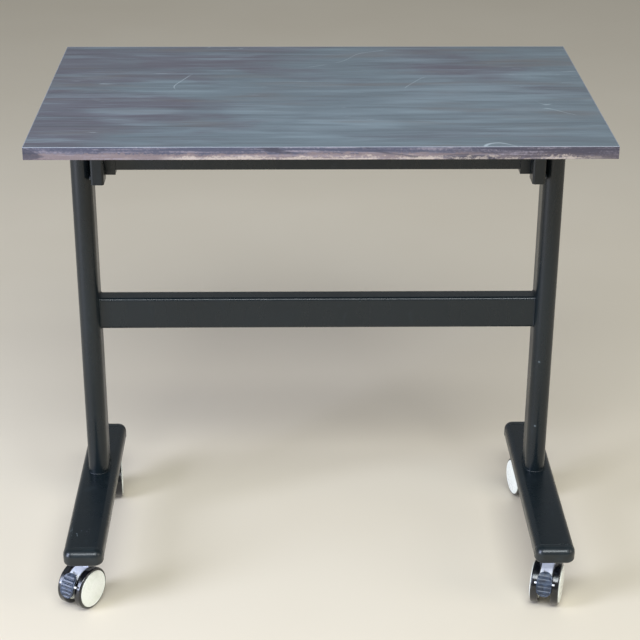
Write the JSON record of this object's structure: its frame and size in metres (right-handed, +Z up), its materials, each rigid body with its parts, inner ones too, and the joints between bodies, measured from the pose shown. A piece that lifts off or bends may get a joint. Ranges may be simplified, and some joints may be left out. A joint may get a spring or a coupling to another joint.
{
  "type": "height adjustable desk",
  "caption": "Mobile height adjustable desk with a stone-look top, oval columns on flat T feet, a crossbar, an upper rail and braked castors.",
  "frame": {"origin": "on the floor, in the middle of the overall footprint at rest", "axes": "+Z up, +X to the user's right along the desktop's length, -Y towards the user's side seen in the picture"},
  "size_m": [0.8003, 0.5, 0.755],
  "materials": {
    "laminate": "satin stone-look laminate",
    "edge": "satin mottled banding",
    "board": "particle board",
    "frame_paint": "satin black powder coat",
    "inner_tube": "satin black powder coat",
    "cap_plastic": "satin black moulding",
    "liner_plastic": "black glide plastic",
    "fastener": "blackened steel",
    "stem_steel": "zinc plated",
    "castor_body": "silver moulding",
    "hub": "white moulding",
    "tyre": "black polyurethane",
    "pedal": "ribbed blue-grey moulding"
  },
  "bodies": {
    "base": {"column_base_bolts": "fastener", "bracket_bolts": "fastener", "crossbar": "frame_paint", "upper_rail": "frame_paint", "rail_saddles": "frame_paint", "bracket_bosses": "frame_paint", "column_left": "frame_paint", "foot_left": "frame_paint", "bracket_left": "frame_paint", "column_liner_left": "liner_plastic", "foot_cap_front_left": "cap_plastic", "foot_cap_rear_left": "cap_plastic", "column_right": "frame_paint", "foot_right": "frame_paint", "bracket_right": "frame_paint", "column_liner_right": "liner_plastic", "foot_cap_front_right": "cap_plastic", "foot_cap_rear_right": "cap_plastic", "castor_front_left_stem": "stem_steel", "castor_front_right_stem": "stem_steel", "castor_rear_left_stem": "stem_steel", "castor_rear_right_stem": "stem_steel"},
    "lift": {"desktop_core": "board", "desktop_laminate": "laminate", "edge_banding": "edge", "bearer_screws": "fastener", "bearer_left": "frame_paint", "bearer_right": "frame_paint", "inner_tube_left": "inner_tube", "inner_tube_right": "inner_tube"},
    "clamp_left": {"clamp_screw_left": "fastener"},
    "clamp_right": {"clamp_screw_right": "fastener"},
    "castor_front_left_body": {"castor_front_left_housing": "castor_body", "castor_front_left_axle": "stem_steel"},
    "castor_front_left_brake": {"castor_front_left_pedal": "pedal"},
    "castor_front_left_wheel_a": {"castor_front_left_hub_a": "hub", "castor_front_left_tyre_a": "tyre"},
    "castor_front_left_wheel_b": {"castor_front_left_hub_b": "hub", "castor_front_left_tyre_b": "tyre"},
    "castor_front_right_body": {"castor_front_right_housing": "castor_body", "castor_front_right_axle": "stem_steel"},
    "castor_front_right_brake": {"castor_front_right_pedal": "pedal"},
    "castor_front_right_wheel_a": {"castor_front_right_hub_a": "hub", "castor_front_right_tyre_a": "tyre"},
    "castor_front_right_wheel_b": {"castor_front_right_hub_b": "hub", "castor_front_right_tyre_b": "tyre"},
    "castor_rear_left_body": {"castor_rear_left_housing": "castor_body", "castor_rear_left_axle": "stem_steel"},
    "castor_rear_left_brake": {"castor_rear_left_pedal": "pedal"},
    "castor_rear_left_wheel_a": {"castor_rear_left_hub_a": "hub", "castor_rear_left_tyre_a": "tyre"},
    "castor_rear_left_wheel_b": {"castor_rear_left_hub_b": "hub", "castor_rear_left_tyre_b": "tyre"},
    "castor_rear_right_body": {"castor_rear_right_housing": "castor_body", "castor_rear_right_axle": "stem_steel"},
    "castor_rear_right_brake": {"castor_rear_right_pedal": "pedal"},
    "castor_rear_right_wheel_a": {"castor_rear_right_hub_a": "hub", "castor_rear_right_tyre_a": "tyre"},
    "castor_rear_right_wheel_b": {"castor_rear_right_hub_b": "hub", "castor_rear_right_tyre_b": "tyre"}
  },
  "joints": [
    {"name": "desk_lift", "type": "slide", "parent": "base", "child": "lift", "axis": [0, 0, 1], "range_m": [0, 0.35]},
    {"name": "clamp_left_turn", "type": "hinge", "parent": "base", "child": "clamp_left", "pos_m": [-0.33, 0.02, 0.68], "axis": [-1, 0, 0], "range_deg": [0, 270]},
    {"name": "clamp_right_turn", "type": "hinge", "parent": "base", "child": "clamp_right", "pos_m": [0.33, 0.02, 0.68], "axis": [1, 0, 0], "range_deg": [0, 270]},
    {"name": "castor_front_left_swivel", "type": "hinge", "parent": "base", "child": "castor_front_left_body", "pos_m": [-0.357, -0.193, 0.078], "axis": [0, 0, 1], "continuous": true},
    {"name": "castor_front_left_brake_press", "type": "hinge", "parent": "castor_front_left_body", "child": "castor_front_left_brake", "pos_m": [-0.37368, -0.2197, 0.05512], "axis": [-0.848, 0.5299, 0], "range_deg": [0, 12]},
    {"name": "castor_front_left_wheel_a_spin", "type": "hinge", "parent": "castor_front_left_body", "child": "castor_front_left_wheel_a", "pos_m": [-0.36548, -0.20657, 0.033], "axis": [-0.848, 0.5299, 0], "continuous": true},
    {"name": "castor_front_left_wheel_b_spin", "type": "hinge", "parent": "castor_front_left_body", "child": "castor_front_left_wheel_b", "pos_m": [-0.36548, -0.20657, 0.033], "axis": [-0.848, 0.5299, 0], "continuous": true},
    {"name": "castor_front_right_swivel", "type": "hinge", "parent": "base", "child": "castor_front_right_body", "pos_m": [0.357, -0.193, 0.078], "axis": [0, 0, 1], "continuous": true},
    {"name": "castor_front_right_brake_press", "type": "hinge", "parent": "castor_front_right_body", "child": "castor_front_right_brake", "pos_m": [0.34779, -0.22311, 0.05512], "axis": [-0.9563, 0.2924, 0], "range_deg": [0, 12]},
    {"name": "castor_front_right_wheel_a_spin", "type": "hinge", "parent": "castor_front_right_body", "child": "castor_front_right_wheel_a", "pos_m": [0.35232, -0.2083, 0.033], "axis": [-0.9563, 0.2924, 0], "continuous": true},
    {"name": "castor_front_right_wheel_b_spin", "type": "hinge", "parent": "castor_front_right_body", "child": "castor_front_right_wheel_b", "pos_m": [0.35232, -0.2083, 0.033], "axis": [-0.9563, 0.2924, 0], "continuous": true},
    {"name": "castor_rear_left_swivel", "type": "hinge", "parent": "base", "child": "castor_rear_left_body", "pos_m": [-0.357, 0.134, 0.078], "axis": [0, 0, 1], "continuous": true},
    {"name": "castor_rear_left_brake_press", "type": "hinge", "parent": "castor_rear_left_body", "child": "castor_rear_left_brake", "pos_m": [-0.35371, 0.10269, 0.05512], "axis": [-0.9945, -0.1045, 0], "range_deg": [0, 12]},
    {"name": "castor_rear_left_wheel_a_spin", "type": "hinge", "parent": "castor_rear_left_body", "child": "castor_rear_left_wheel_a", "pos_m": [-0.35533, 0.11809, 0.033], "axis": [-0.9945, -0.1045, 0], "continuous": true},
    {"name": "castor_rear_left_wheel_b_spin", "type": "hinge", "parent": "castor_rear_left_body", "child": "castor_rear_left_wheel_b", "pos_m": [-0.35533, 0.11809, 0.033], "axis": [-0.9945, -0.1045, 0], "continuous": true},
    {"name": "castor_rear_right_swivel", "type": "hinge", "parent": "base", "child": "castor_rear_right_body", "pos_m": [0.357, 0.134, 0.078], "axis": [0, 0, 1], "continuous": true},
    {"name": "castor_rear_right_brake_press", "type": "hinge", "parent": "castor_rear_right_body", "child": "castor_rear_right_brake", "pos_m": [0.36355, 0.1032, 0.05512], "axis": [-0.9781, -0.2079, 0], "range_deg": [0, 12]},
    {"name": "castor_rear_right_wheel_a_spin", "type": "hinge", "parent": "castor_rear_right_body", "child": "castor_rear_right_wheel_a", "pos_m": [0.36033, 0.11835, 0.033], "axis": [-0.9781, -0.2079, 0], "continuous": true},
    {"name": "castor_rear_right_wheel_b_spin", "type": "hinge", "parent": "castor_rear_right_body", "child": "castor_rear_right_wheel_b", "pos_m": [0.36033, 0.11835, 0.033], "axis": [-0.9781, -0.2079, 0], "continuous": true}
  ]
}
